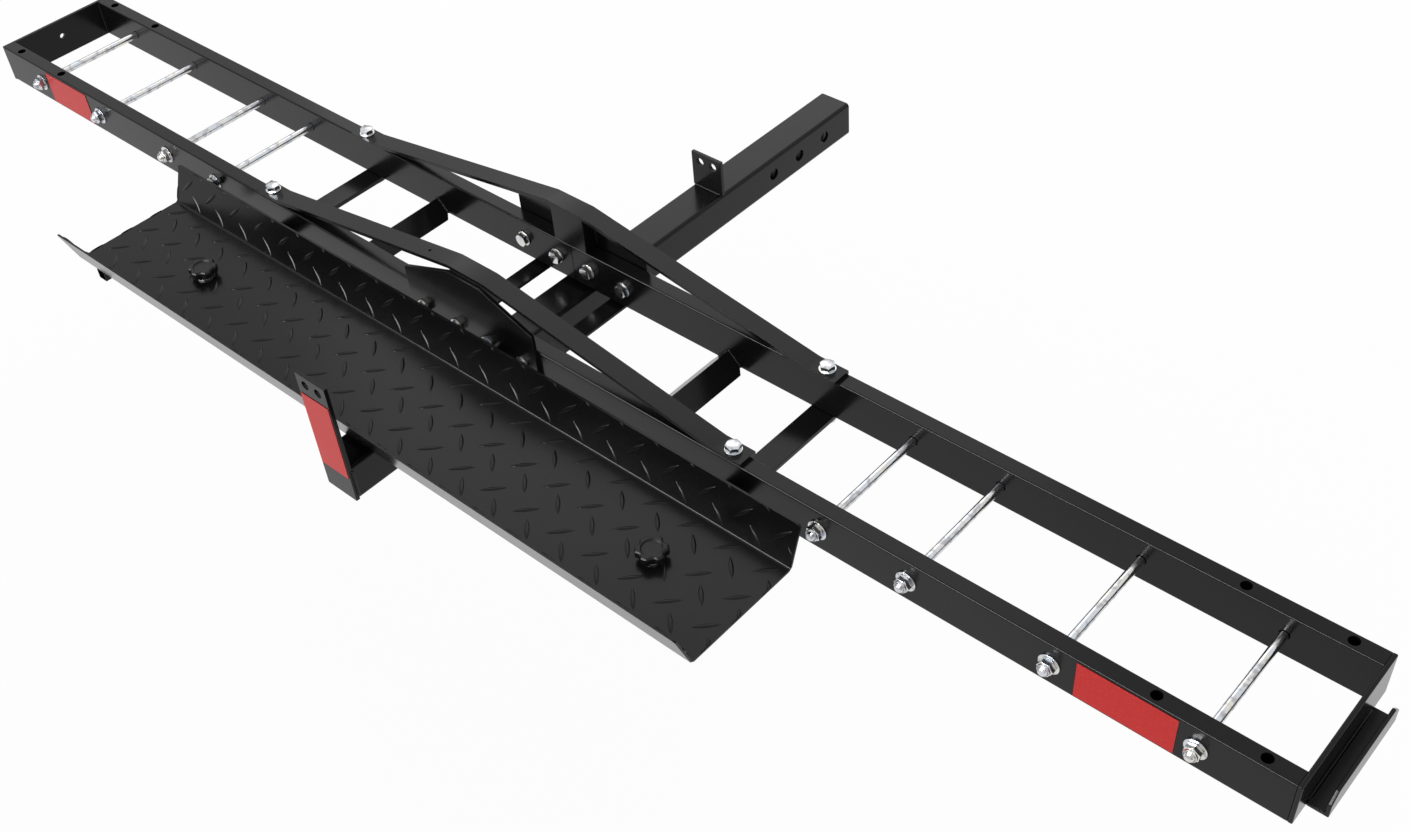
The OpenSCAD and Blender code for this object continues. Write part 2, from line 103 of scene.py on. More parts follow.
class Tree:
    """A node tree, of a material or of geometry, to which nodes are added one call at a time."""

    def __init__(self, node_tree):
        self.nodes = node_tree.nodes
        self.links = node_tree.links

    def add(self, kind, settings=None, sockets=None):
        """Adds a node: its settings first, then the values or wires of its input sockets."""
        node = self.nodes.new(kind)
        for name, value in (settings or {}).items():
            setattr(node, name, value)
        for name, value in (sockets or {}).items():
            if isinstance(value, Wire):
                self.links.new(value.socket, node.inputs[name])
            else:
                node.inputs[name].default_value = value
        outputs = [socket for socket in node.outputs if socket.enabled]
        return Wire(self, outputs[0]) if outputs else None

    def calc(self, operation, *values):
        return self.add("ShaderNodeMath", {"operation": operation}, dict(enumerate(values)))

    def ease(self, value, low, high):
        """0 where the value is under low, 1 over high, and smooth between them."""
        return self.add("ShaderNodeMapRange", {"interpolation_type": "SMOOTHSTEP"},
                        {"Value": value, "From Min": low, "From Max": high})

    def mix(self, factor, low, high):
        """A colour between two colours."""
        return self.add("ShaderNodeMix", {"data_type": "RGBA"}, {0: factor, 6: low, 7: high})

    def place(self):
        return self.add("ShaderNodeTexCoord")["Object"]

    def noise(self, scale, detail):
        """Noise of so many lumps to the metre."""
        return self.add("ShaderNodeTexNoise", {},
                        {"Vector": self.place(), "Scale": scale, "Detail": detail})

    def bump(self, height, depth, strength):
        return self.add("ShaderNodeBump", {}, {"Height": height, "Distance": depth, "Strength": strength})

    def surface(self, sockets):
        """Ends a material in one Principled shader."""
        shader = self.add("ShaderNodeBsdfPrincipled", {}, sockets)
        self.add("ShaderNodeOutputMaterial", {}, {"Surface": shader})


def new_material(name):
    """An empty material, and the tree to fill it with."""
    material = bpy.data.materials.new(name)
    material.use_nodes = True
    material.node_tree.nodes.clear()
    return material, Tree(material.node_tree)


def grey(tone, blue=1.0):
    return [tone, tone, tone * blue, 1]


def powder_coat(name, tone, gloss):
    """Baked powder: orange peel about a millimetre wide, faint clouds in its gloss and a little dust."""
    material, tree = new_material(name)
    peel = tree.noise(scale=700.0, detail=2.0)
    clouds = tree.noise(scale=8.0, detail=4.0)
    specks = tree.ease(tree.noise(scale=1500.0, detail=0.0), low=0.72, high=0.8)
    dust = specks * tree.ease(clouds, low=0.45, high=0.6)
    coat = tree.mix(clouds, grey(tone * 0.8, blue=1.05), grey(tone * 1.15, blue=1.05))
    tree.surface({
        "Base Color": tree.mix(dust, coat, grey(tone * 3)),
        "Roughness": gloss + 0.06 * clouds + 0.1 * dust,
        "Specular IOR Level": 0.18,
        "Normal": tree.bump(peel, depth=0.08 * mm, strength=0.2),
    })
    return material


black_coat = powder_coat("black_powder_coat", tone=0.005, gloss=0.17)


def settle(piece):
    """Turns a piece and its modifiers into a plain mesh."""
    graph = bpy.context.evaluated_depsgraph_get()
    mesh = bpy.data.meshes.new_from_object(piece.evaluated_get(graph))
    mesh.name = piece.name
    piece.modifiers.clear()
    piece.data = mesh
    return piece


def new_piece(name, shape, *materials):
    """An object at the origin, from a bmesh and its materials."""
    mesh = bpy.data.meshes.new(name)
    shape.to_mesh(mesh)
    shape.free()
    piece = bpy.data.objects.new(name, mesh)
    bpy.context.scene.collection.objects.link(piece)
    for material in materials:
        mesh.materials.append(material)
    return piece


def ease_edges(piece, width, steps=2, angle=30):
    """Rounds every corner that is sharper than the angle, and keeps the faces between flat."""
    bevel = piece.modifiers.new("eased", "BEVEL")
    bevel.width = width
    bevel.segments = steps
    bevel.limit_method = "ANGLE"
    bevel.angle_limit = math.radians(angle)
    flats = piece.modifiers.new("flats", "WEIGHTED_NORMAL")
    flats.weight = 100
    piece.data.shade_smooth()
    return settle(piece)


same_point = 0.001 * mm
same_plane = math.radians(1)


def steel_shape(node):
    """The steel of a frame node, its loose triangles merged into whole faces."""
    shape = bmesh.new()
    shape.from_mesh(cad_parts[node].data)
    bmesh.ops.remove_doubles(shape, verts=shape.verts, dist=same_point)
    bmesh.ops.dissolve_limit(shape, angle_limit=same_plane, verts=shape.verts, edges=shape.edges)
    return shape


def fit(piece, body, slot, *nodes):
    """The piece rides on a body and stands for its frame nodes, which are hidden. The slot is not used."""
    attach(piece, body)
    if nodes:
        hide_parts(*nodes)


def coated_steel(edge, *nodes, steps=2, angle=30, body="root"):
    """Pieces of coated steel on the shapes of frame nodes, with eased edges."""
    for node in nodes:
        piece = ease_edges(new_piece(node + "_steel", steel_shape(node), black_coat), edge, steps, angle)
        fit(piece, body, "black_powder_coat", node)


saw_cut_ease = 0.5 * mm
coated_steel(saw_cut_ease, "hitch_beam")


# Upright plates
# Two plates of 5 mm steel, each with a pair of holes for a lamp, a number plate or a cable
# clip. One closes the rear end of the hitch tube, one stands on it, and both are welded on.

sheared_ease = 0.5 * mm
coated_steel(sheared_ease, "rear_upright_plate", "front_upright_plate")


class Recipe(Tree):
    """A geometry node tree with named inputs. It makes one real mesh of one material."""

    def __init__(self, name, **inputs):
        self.group = bpy.data.node_groups.new(name, "GeometryNodeTree")
        super().__init__(self.group)
        faces = self.group.interface
        for way in ("INPUT", "OUTPUT"):
            faces.new_socket("Mesh", in_out=way, socket_type="NodeSocketGeometry")
        for label, kind in dict(inputs, Material="Material").items():
            faces.new_socket(label, in_out="INPUT", socket_type="NodeSocket" + kind)
        self.given = self.add("NodeGroupInput")

    def finish(self, mesh):
        real = self.add("GeometryNodeRealizeInstances", {}, {"Geometry": mesh})
        made = self.add("GeometryNodeSetMaterial", {},
                        {"Geometry": real, "Material": self.given["Material"]})
        self.add("NodeGroupOutput", {}, {"Mesh": made})

    def use(self, piece, **values):
        """Runs the recipe on a piece with these inputs, and keeps the mesh that it makes."""
        step = piece.modifiers.new(self.group.name, "NODES")
        step.node_group = self.group
        for socket in self.group.interface.items_tree:
            if socket.in_out == "INPUT" and socket.name in values:
                step[socket.identifier] = values[socket.name]
        return settle(piece)


def bead_recipe():
    """A weld bead along each line of a mesh: a thin roll, rippled as the torch moved, with tapered ends."""
    ring_step = 0.45 * mm
    ring_sides = 10
    end_fullness = 14
    recipe = Recipe("weld_bead", Radius="Float", Ripple="Float")
    line = recipe.add("GeometryNodeMeshToCurve", {}, {"Mesh": recipe.given["Mesh"]})
    path = recipe.add("GeometryNodeResampleCurve", {"mode": "LENGTH"}, {"Curve": line, "Length": ring_step})
    along = recipe.add("GeometryNodeSplineParameter")
    scales = recipe.calc("SINE", math.tau * along["Length"] / recipe.given["Ripple"])
    wander = recipe.add("ShaderNodeTexNoise", {}, {"Scale": 160.0, "Detail": 1.0})
    plumpness = 0.8 + 0.07 * scales + 0.3 * wander
    taper = (1 - recipe.calc("ABSOLUTE", 2 * along["Factor"] - 1) ** end_fullness) ** 0.5
    ring = recipe.add("GeometryNodeCurvePrimitiveCircle", {},
                      {"Resolution": ring_sides, "Radius": recipe.given["Radius"]})
    roll = recipe.add("GeometryNodeCurveToMesh", {}, {
        "Curve": path, "Profile Curve": ring["Curve"], "Fill Caps": True, "Scale": taper * plumpness})
    recipe.finish(recipe.add("GeometryNodeSetShadeSmooth", {}, {"Geometry": roll}))
    return recipe


weld_bead = bead_recipe()
weld_ripple = 1.7 * mm


def weld(name, radius, *runs, body="root"):
    """Weld beads along runs of points, coated with the steel."""
    shape = bmesh.new()
    for run in runs:
        corners = [shape.verts.new(point) for point in run]
        for start, end in zip(corners, corners[1:]):
            shape.edges.new((start, end))
    bead = weld_bead.use(new_piece(name, shape), Radius=radius, Ripple=weld_ripple, Material=black_coat)
    fit(bead, body, "black_powder_coat")


tube_low, tube_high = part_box("hitch_beam")
front_low, front_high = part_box("front_upright_plate")
foot_bead = 2.6 * mm
foot_inset = 2 * mm
foot_left = front_low.x + foot_inset
foot_right = front_high.x - foot_inset
weld("front_upright_weld", foot_bead,
     *[[(foot_left, face, front_low.z), (foot_right, face, front_low.z)]
       for face in (front_low.y, front_high.y)])

rear_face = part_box("rear_upright_plate")[1].y
seam_bead = 2.2 * mm
corner_inset = 6 * mm
seam_left = tube_low.x + corner_inset
seam_right = tube_high.x - corner_inset
seam_bottom = tube_low.z + corner_inset
seam_top = tube_high.z - corner_inset
weld("rear_upright_weld", seam_bead,
     [(seam_left, rear_face, tube_high.z), (seam_right, rear_face, tube_high.z)],
     *[[(side, rear_face, seam_bottom), (side, rear_face, seam_top)] for side in (tube_low.x, tube_high.x)])


# Centre plates and ties
# Two plates of 5 mm steel, notched over the hitch tube and welded to it, against which the
# rails bolt. Two flats under the rails are welded between them beside the tube.

coated_steel(sheared_ease, "rear_centre_plate", "front_centre_plate", "left_centre_tie", "right_centre_tie")

back_plate_low, back_plate_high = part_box("rear_centre_plate")
fore_plate_low, fore_plate_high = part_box("front_centre_plate")
plate_faces = [back_plate_low.y, back_plate_high.y, fore_plate_low.y, fore_plate_high.y]
plate_bead = 2.8 * mm
weld("centre_plate_welds", plate_bead,
     *[[(seam_left, face, tube_high.z), (seam_right, face, tube_high.z)] for face in plate_faces],
     *[[(side, face, back_plate_low.z), (side, face, seam_top)]
       for face in plate_faces for side in (tube_low.x, tube_high.x)])
flat_bead = 2 * mm
for side in ("left", "right"):
    tie_low, tie_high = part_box(side + "_centre_tie")
    weld(side + "_centre_tie_welds", flat_bead,
         *[[(tie_low.x, face, tie_high.z), (tie_high.x, face, tie_high.z)]
           for face in (tie_low.y, tie_high.y)])


# Rails
# Four rectangular steel tubes of 2 mm wall, two to each half of the wheel track. They are
# drilled across for the rods and centre bolts, and down through their tops for strap eyes.

drilled_ease = 0.3 * mm
coated_steel(drilled_ease, "rear_left_rail", "rear_right_rail", "front_left_rail", "front_right_rail")


# End plates and ramp bracket
# Flats welded over the open ends of the rails, with the seams ground flush outside. The
# bracket is an angle welded on the right one, and its lip holds the ramp's hook bar.

ground_ease = 1.4 * mm
bracket_ease = 0.8 * mm
coated_steel(ground_ease, "left_end_plate", "right_end_plate", steps=4)
coated_steel(bracket_ease, "ramp_bracket", steps=3)

rail_low, rail_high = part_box("rear_right_rail")
far_low, far_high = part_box("front_right_rail")
end_bead = 1.6 * mm
end_seam_bottom = rail_low.z + 1 * mm
end_seam_top = rail_high.z - 3 * mm
for side, end in (("left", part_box("left_end_plate")[1].x), ("right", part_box("right_end_plate")[0].x)):
    weld(side + "_end_welds", end_bead,
         *[[(end, face, end_seam_bottom), (end, face, end_seam_top)] for face in (rail_high.y, far_low.y)])

bracket_low, bracket_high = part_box("ramp_bracket")
bracket_bead = 2.2 * mm
bracket_inset = 4 * mm
bracket_floor = 4 * mm
bracket_rise = 0.5 * mm
weld("bracket_welds", bracket_bead,
     *[[(bracket_low.x, bracket_low.y + bracket_inset, height),
        (bracket_low.x, bracket_high.y - bracket_inset, height)]
       for height in (bracket_low.z + bracket_rise, bracket_low.z + bracket_floor)])


# Angle ties
# Two angles of 3 mm steel, laid ridge up between the rails and welded to their inner sides
# under the arch bars.

angle_ease = 0.6 * mm
coated_steel(angle_ease, "left_angle_tie", "right_angle_tie")

angle_bead = 1.9 * mm
leg_inset = 1 * mm
for side in ("left", "right"):
    tie_low, tie_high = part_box(side + "_angle_tie")
    ridge = (tie_low.x + tie_high.x) / 2
    reach = tie_high.z - rail_low.z - leg_inset
    weld(side + "_angle_tie_welds", angle_bead,
         *[[(ridge - reach, face, tie_high.z - reach), (ridge, face, tie_high.z),
            (ridge + reach, face, tie_high.z - reach)] for face in (tie_low.y, tie_high.y)])


# Arch posts and arch bars
# Flats bent up over the joint of the two halves, which the tyre's sides lean on. A short box
# post on the rails, welded to the centre plate and the bar, carries each at its middle.

post_ease = 0.6 * mm
bar_ease = 0.7 * mm
gentlest_bend = 12
coated_steel(post_ease, "rear_arch_post", "front_arch_post")
coated_steel(bar_ease, "rear_arch_bar", "front_arch_bar", steps=3, angle=gentlest_bend)

post_bead = 2 * mm
post_foot = 2 * mm
post_head = 3 * mm
for side, plate_face, free_face in (("rear", back_plate_high.y, rail_high.y),
                                    ("front", fore_plate_low.y, far_low.y)):
    post_low, post_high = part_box(side + "_arch_post")
    weld(side + "_arch_post_welds", post_bead,
         *[[(edge, plate_face, post_low.z + post_foot), (edge, plate_face, post_high.z - post_head)]
           for edge in (post_low.x, post_high.x)],
         [(post_low.x, free_face, post_high.z), (post_high.x, free_face, post_high.z)])


# Ramp arms
# Two flats of 6 mm steel that lie under the rails, where the arch bolts hold them, and reach
# out behind the track to carry the ramp.

arm_ease = 0.7 * mm
coated_steel(arm_ease, "left_ramp_arm", "right_ramp_arm")


# Cross rods
# Long M10 bolts of bright zinc plated steel. Their heads bear on the front rails, and their
# rolled threads end in lock nuts behind the rear rails.


def zinc_plate():
    """Bright zinc: mottled where the bath left it dull, with a trace of blue and yellow passivation."""
    material, tree = new_material("zinc_plate")
    bluish = [0.6, 0.63, 0.68, 1]
    yellowish = [0.7, 0.68, 0.63, 1]
    dull_grey = [0.42, 0.42, 0.45, 1]
    fine = tree.noise(scale=900.0, detail=3.0)
    mottle = tree.noise(scale=120.0, detail=2.0)
    dull = tree.ease(mottle, low=0.48, high=0.64)
    drift = tree.ease(tree.noise(scale=60.0, detail=2.0), low=0.35, high=0.65)
    tree.surface({
        "Base Color": tree.mix(dull, tree.mix(drift, bluish, yellowish), dull_grey),
        "Metallic": 1.0,
        "Roughness": 0.1 + 0.12 * fine + 0.12 * dull,
        "Normal": tree.bump(mottle + 0.2 * fine, depth=0.6 * mm, strength=0.12),
    })
    return material


bright_zinc = zinc_plate()
thread_radius = 5 * mm
thread_pitch = 1.5 * mm
thread_depth = 0.9 * mm
thread_point = 1 * mm
hex_flats = 16 * mm
chamfer_start = 0.475
chamfer_slope = math.tan(math.radians(30))


def circle(radius, height):
    """A round ring of a turned shape."""
    return lambda angle: (radius, height)


def hexagon(height, slope):
    """A ring on a hexagon's flats, which a cone cuts back towards the corners."""
    def ring(angle):
        turn = (angle + math.pi / 6) % (math.pi / 3) - math.pi / 6
        reach = hex_flats / 2 / math.cos(turn)
        return reach, height - slope * (reach - chamfer_start * hex_flats)
    return ring


def turned(rings, hollow=False, steps=48):
    """A closed shape round Z, from rings that give a radius and a height at every angle."""
    shape = bmesh.new()
    loops = []
    for ring in rings:
        loops.append([])
        for step in range(steps):
            angle = math.tau * step / steps
            radius, height = ring(angle)
            loops[-1].append(shape.verts.new((radius * math.cos(angle), radius * math.sin(angle), height)))
    pairs = list(zip(loops, loops[1:]))
    if hollow:
        pairs.append((loops[-1], loops[0]))
    else:
        shape.faces.new(reversed(loops[0]))
        shape.faces.new(loops[-1])
    for low, high in pairs:
        for step in range(steps):
            after = (step + 1) % steps
            shape.faces.new((low[step], low[after], high[after], high[step]))
    bmesh.ops.recalc_face_normals(shape, faces=shape.faces)
    return shape


def thread_recipe():
    """Cuts a helical thread into a turned shape between two heights."""
    recipe = Recipe("rolled_thread", Start="Float", End="Float", Pitch="Float", Depth="Float",
                    Reach="Float")
    part = recipe.add("ShaderNodeSeparateXYZ", {}, {0: recipe.add("GeometryNodeInputPosition")})
    out = recipe.calc("SQRT", part["X"] ** 2 + part["Y"] ** 2)
    turns = part["Z"] / recipe.given["Pitch"] - recipe.calc("ARCTAN2", part["Y"], part["X"]) / math.tau
    groove = recipe.calc("ABSOLUTE", 2 * recipe.calc("FRACT", turns) - 1)
    cut = recipe.given["Depth"] * groove / out * (out > recipe.given["Reach"])
    cut = cut * (part["Z"] > recipe.given["Start"]) * (recipe.given["End"] > part["Z"])
    inward = recipe.add("ShaderNodeCombineXYZ", {}, {0: -1 * part["X"] * cut, 1: -1 * part["Y"] * cut})
    recipe.finish(recipe.add("GeometryNodeSetPosition", {}, {
        "Geometry": recipe.given["Mesh"], "Offset": inward}))
    return recipe


def planted_recipe():
    """Sets a fastener on every point, along the point's aim and turned at random about it."""
    recipe = Recipe("planted_fasteners", Fastener="Object", Seed="Int")
    aim = recipe.add("GeometryNodeInputNamedAttribute", {"data_type": "FLOAT_VECTOR"}, {"Name": "aim"})
    aimed = recipe.add("FunctionNodeAlignRotationToVector", {"axis": "Z"}, {"Vector": aim})
    spin = recipe.add("FunctionNodeRandomValue", {}, {3: math.tau, "Seed": recipe.given["Seed"]})
    turn = recipe.add("FunctionNodeAxisAngleToRotation", {}, {"Axis": (0, 0, 1), "Angle": spin})
    set_turn = recipe.add("FunctionNodeRotateRotation", {"rotation_space": "LOCAL"},
                          {"Rotation": aimed, "Rotate By": turn})
    fastener = recipe.add("GeometryNodeObjectInfo", {}, {"Object": recipe.given["Fastener"]})["Geometry"]
    recipe.finish(recipe.add("GeometryNodeInstanceOnPoints", {}, {
        "Points": recipe.given["Mesh"], "Instance": fastener, "Rotation": set_turn}))
    return recipe


rolled_thread = thread_recipe()
planted_fasteners = planted_recipe()


def template(shape, edge):
    """A fastener to be planted, kept out of the scene."""
    fastener = ease_edges(new_piece("template", shape), edge)
    bpy.context.scene.collection.objects.unlink(fastener)
    return fastener


def threaded(rings, start, end):
    """A turned fastener with a thread between two heights, kept out of the scene."""
    rings_to_a_turn = 4
    runout = 0.4 * mm
    margin = 0.1 * mm
    sharp_from = math.radians(38)
    count = round(rings_to_a_turn * (end - start) / thread_pitch)
    turns = [circle(thread_radius, start + (end - start) * step / count) for step in range(count + 1)]
    plain_end = [circle(thread_radius, start - runout)] if rings else []
    tip = [circle(thread_radius - thread_point, end + thread_point)]
    bolt = new_piece("template", turned(rings + plain_end + turns + tip))
    rolled_thread.use(bolt, Start=start - margin, End=end + margin, Pitch=thread_pitch, Depth=thread_depth,
                      Reach=thread_radius - margin, Material=bright_zinc)
    bolt.data.shade_smooth()
    bolt.data.set_sharp_from_angle(angle=sharp_from)
    bpy.context.scene.collection.objects.unlink(bolt)
    return bolt


def hex_bolt(shank, head, thread):
    """A bolt whose head lies under z = 0 and whose shank rises to its threaded end."""
    return threaded([circle(chamfer_start * hex_flats, -head), hexagon(-head, -chamfer_slope),
                     hexagon(0, 0), circle(thread_radius, 0)], shank - thread, shank - thread_point)


def plant(name, fastener, places, *nodes, seed, material=bright_zinc, body="root"):
    """One piece of all the fasteners of a kind, each with its place and the way that it points."""
    mesh = bpy.data.meshes.new(name)
    mesh.from_pydata([place for place, aim in places], [], [])
    aims = mesh.attributes.new("aim", "FLOAT_VECTOR", "POINT")
    aims.data.foreach_set("vector", [part for place, aim in places for part in aim])
    piece = bpy.data.objects.new(name, mesh)
    bpy.context.scene.collection.objects.link(piece)
    planted_fasteners.use(piece, Fastener=fastener, Seed=seed, Material=material)
    fit(piece, body, "zinc_plate", *nodes)


upward = (0, 0, 1)
downward = (0, 0, -1)
forward = (0, 1, 0)
backward = (0, -1, 0)
head_height = 6.4 * mm
rod_count = 8
rod_thread = 21 * mm
rod_boxes = [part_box(f"cross_rod_{number}") for number in range(1, rod_count + 1)]
rod_xs = [(low.x + high.x) / 2 for low, high in rod_boxes]
rod_low, rod_high = rod_boxes[0]
rod_z = (rod_low.z + rod_high.z) / 2
rod_bolt = hex_bolt(rod_high.y - head_height - rod_low.y, head_height, rod_thread)
for number, rod_x in enumerate(rod_xs, 1):
    plant(f"cross_rod_{number}_bolt", rod_bolt, [((rod_x, rod_high.y - head_height, rod_z), backward)],
          f"cross_rod_{number}", seed=number)


# Lock nuts and washers of the rods
# Zinc plated lock nuts on the rods' threads, with a nylon ring crimped into their collars, and
# broad flat washers under the nuts and under the rods' heads.


def nylon():
    """Milky nylon, a little scuffed."""
    material, tree = new_material("white_nylon")
    scuffs = tree.noise(scale=500.0, detail=3.0)
    tree.surface({
        "Base Color": tree.mix(scuffs, [0.5, 0.52, 0.54, 1], [0.68, 0.69, 0.7, 1]),
        "Roughness": 0.4 + 0.2 * scuffs,
        "Normal": tree.bump(scuffs, depth=0.05 * mm, strength=0.2),
    })
    return material


milky_nylon = nylon()
bore_radius = thread_radius + 0.1 * mm
fastener_ease = 0.15 * mm
washer_ease = 0.3 * mm
crimp_height = 1 * mm


def washer(radius, bore, thick):
    edges = [circle(radius, 0), circle(radius, thick), circle(bore, thick), circle(bore, 0)]
    return template(turned(edges, hollow=True), washer_ease)


def lock_nut(height):
    """A hexagon nut with a round collar crimped over a groove for the nylon."""
    collar = 7.3 * mm
    lip = 6.4 * mm
    lip_wall = 0.4 * mm
    lip_drop = 0.2 * mm
    collar_height = 2.6 * mm
    shoulder = height - collar_height
    return template(turned([
        circle(chamfer_start * hex_flats, 0), hexagon(0, -chamfer_slope), hexagon(shoulder, chamfer_slope),
        circle(collar, shoulder), circle(collar, height - crimp_height), circle(lip + lip_wall, height),
        circle(lip, height - lip_drop), circle(lip, shoulder), circle(bore_radius, shoulder),
        circle(bore_radius, 0)], hollow=True), fastener_ease)


def nylon_ring(height):
    """The nylon ring of a lock nut, whose bore grips the thread."""
    outer = 6.5 * mm
    bore = thread_radius - 0.3 * mm
    mouth = thread_radius + 0.5 * mm
    mouth_depth = 0.5 * mm
    ring_depth = 2.7 * mm
    low = height - ring_depth
    high = height - crimp_height
    return template(turned([
        circle(outer, low), circle(outer, high), circle(mouth, high), circle(bore, high - mouth_depth),
        circle(bore, low)], hollow=True), fastener_ease)


nut_low, nut_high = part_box("rod_nuts")
nut_height = nut_high.y - nut_low.y
nut_places = [((rod_x, nut_high.y, rod_z), backward) for rod_x in rod_xs]
plant("lock_nuts", lock_nut(nut_height), nut_places, "rod_nuts", seed=3)
plant("lock_nut_rings", nylon_ring(nut_height), nut_places, seed=3, material=milky_nylon)
washer_low, washer_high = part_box("rod_washers")
washer_thick = 2 * mm
washer_bore = 5.5 * mm
rod_washer = washer((washer_high.z - washer_low.z) / 2, washer_bore, washer_thick)
plant("rod_washer_rings", rod_washer,
      [((rod_x, rail_low.y, rod_z), backward) for rod_x in rod_xs]
      + [((rod_x, far_high.y, rod_z), forward) for rod_x in rod_xs], "rod_washers", seed=5)


# Bolts of the centre plates
# Eight M10 bolts through the rails and the centre plates. Their heads are between the rails
# and their plain nuts outside, both on flat washers.

inner_bolt = 27 * mm
outer_bolt = 86.5 * mm
plate_bolt_xs = [-outer_bolt, -inner_bolt, inner_bolt, outer_bolt]
plate_thick = 5 * mm
bolt_thread = 14 * mm
plain_nut_height = 8 * mm
plate_stack = far_high.y - far_low.y + plate_thick
plate_bolt_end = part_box("plate_bolts")[1].y
plate_bolt = hex_bolt(plate_bolt_end - far_low.y + washer_thick, head_height, bolt_thread)


def hex_nut(height):
    """A plain nut whose bore is opened out at the end that faces away."""
    mouth = 0.6 * mm
    return template(turned([
        circle(chamfer_start * hex_flats, 0), hexagon(0, -chamfer_slope), hexagon(height, chamfer_slope),
        circle(chamfer_start * hex_flats, height), circle(bore_radius + mouth, height),
        circle(bore_radius, height - mouth), circle(bore_radius, 0)], hollow=True), fastener_ease)


def at_plate_bolts(out):
    """Places at a distance outwards from the inner sides of the rails."""
    return ([((x, far_low.y + out, rod_z), forward) for x in plate_bolt_xs]
            + [((x, rail_high.y - out, rod_z), backward) for x in plate_bolt_xs])


plain_nut = hex_nut(plain_nut_height)
plate_ring_low, plate_ring_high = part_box("plate_washers")
plain_ring_radius = (plate_ring_high.z - plate_ring_low.z) / 2
plain_washer = washer(plain_ring_radius, washer_bore, washer_thick)
plant("plate_hex_bolts", plate_bolt, at_plate_bolts(-washer_thick), "plate_bolts", seed=11)
plant("plate_hex_nuts", plain_nut, at_plate_bolts(plate_stack + washer_thick), "plate_nuts", seed=12)
plant("plate_washer_rings", plain_washer, at_plate_bolts(-washer_thick) + at_plate_bolts(plate_stack),
      "plate_washers", seed=13)


# Bolts of the arch bars
# Four M10 bolts, each down through the end of an arch bar, a rail and a ramp arm, with flat
# washers under its head and its plain nut.

arch_low, arch_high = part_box("arch_bolts")
arch_nut_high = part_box("arch_nuts")[1]
arch_ring_low, arch_ring_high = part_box("arch_washers")
arch_spots = [(x, y) for x in (arch_ring_low.x + plain_ring_radius, arch_ring_high.x - plain_ring_radius)
              for y in (arch_ring_low.y + plain_ring_radius, arch_ring_high.y - plain_ring_radius)]


def at_arch_bolts(height):
    return [((x, y, height), downward) for x, y in arch_spots]


arch_bolt = hex_bolt(arch_high.z - head_height - arch_low.z, head_height, bolt_thread)
plant("arch_hex_bolts", arch_bolt, at_arch_bolts(arch_high.z - head_height), "arch_bolts", seed=21)
plant("arch_hex_nuts", plain_nut, at_arch_bolts(arch_nut_high.z), "arch_nuts", seed=22)
plant("arch_washer_rings", plain_washer,
      at_arch_bolts(arch_ring_high.z) + at_arch_bolts(arch_ring_low.z + washer_thick),
      "arch_washers", seed=23)


# Weld nuts of the knobs
# Two plain M10 nuts tacked under the ramp arms. The studs of the knobs screw into them and so
# hold the ramp down.

knob_boxes = {side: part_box(side + "_knob_washer") for side in ("left", "right")}
knob_spots = {side: ((low.x + high.x) / 2, (low.y + high.y) / 2)
              for side, (low, high) in knob_boxes.items()}
weld_nut_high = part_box("knob_nuts")[1].z
plant("knob_weld_nuts", plain_nut, [((x, y, weld_nut_high), downward) for x, y in knob_spots.values()],
      "knob_nuts", seed=31)


# Reflectors
# Pieces of self-adhesive red prism film, cut square and stuck on the outer sides of both rear
# rails and on the rear upright plate.


def reflective_film():
    """Prism film: a clear gloss face over a fine mesh of cells."""
    material, tree = new_material("red_reflector")
    cell_red = [0.58, 0.01, 0.009, 1]
    wall_red = [0.68, 0.03, 0.025, 1]
    cells = tree.add("ShaderNodeTexVoronoi", {"feature": "DISTANCE_TO_EDGE"},
                     {"Vector": tree.place(), "Scale": 420.0})
    walls = 1 - tree.ease(cells, low=0.02, high=0.09)
    tree.surface({
        "Base Color": tree.mix(walls, cell_red, wall_red),
        "Roughness": 0.3 + 0.15 * walls,
        "Specular IOR Level": 0.2,
        "Normal": tree.bump(cells, depth=0.1 * mm, strength=0.1),
    })
    return material


red_film = reflective_film()
film_ease = 0.2 * mm
for node in ("left_rail_reflector", "right_rail_reflector", "rear_reflector"):
    piece = ease_edges(new_piece(node + "_film", steel_shape(node), red_film), film_ease)
    fit(piece, "root", "red_reflector", node)


# Ramp
# A trough folded from 2.5 mm tread plate, with bars pressed up in two crossed rows, so that
# the pattern runs on over the folds. The hook bar is welded under its left end.

tread_coat = powder_coat("black_tread_plate", tone=0.0055, gloss=0.19)
ramp_low, ramp_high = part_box("ramp")
ramp_middle = (ramp_low + ramp_high) / 2
ramp_length = ramp_high.x - ramp_low.x
sheet_thick = 2.5 * mm
sheet_ease = 1.1 * mm
floor_half = 77.5 * mm
side_rise = ramp_high.z - ramp_low.z
side_lean = math.atan2((ramp_high.y - ramp_low.y) / 2 - floor_half, side_rise)
fold = math.pi / 2 - side_lean
inner_bend = 3 * mm


def ramp_shape():
    """The folded sheet, with the frame's sharp folds rounded inside and out."""
    level = 0.1 * mm
    shape = steel_shape("ramp")
    for height, radius in ((ramp_low.z + sheet_thick, inner_bend), (ramp_low.z, inner_bend + sheet_thick)):
        folds = []
        for edge in shape.edges:
            start, end = [corner.co for corner in edge.verts]
            at_height = abs(start.z - height) < level and abs(end.z - height) < level
            if at_height and abs(start.y - end.y) < level and abs(start.x - end.x) > floor_half:
                folds.append(edge)
        bmesh.ops.bevel(shape, geom=folds, offset=radius * math.tan(fold / 2), segments=7, profile=0.5,
                        affect="EDGES")
    return shape


ramp_sheet = ease_edges(new_piece("ramp_sheet", ramp_shape(), tread_coat), sheet_ease, steps=3)
fit(ramp_sheet, "ramp", "black_tread_plate", "ramp")

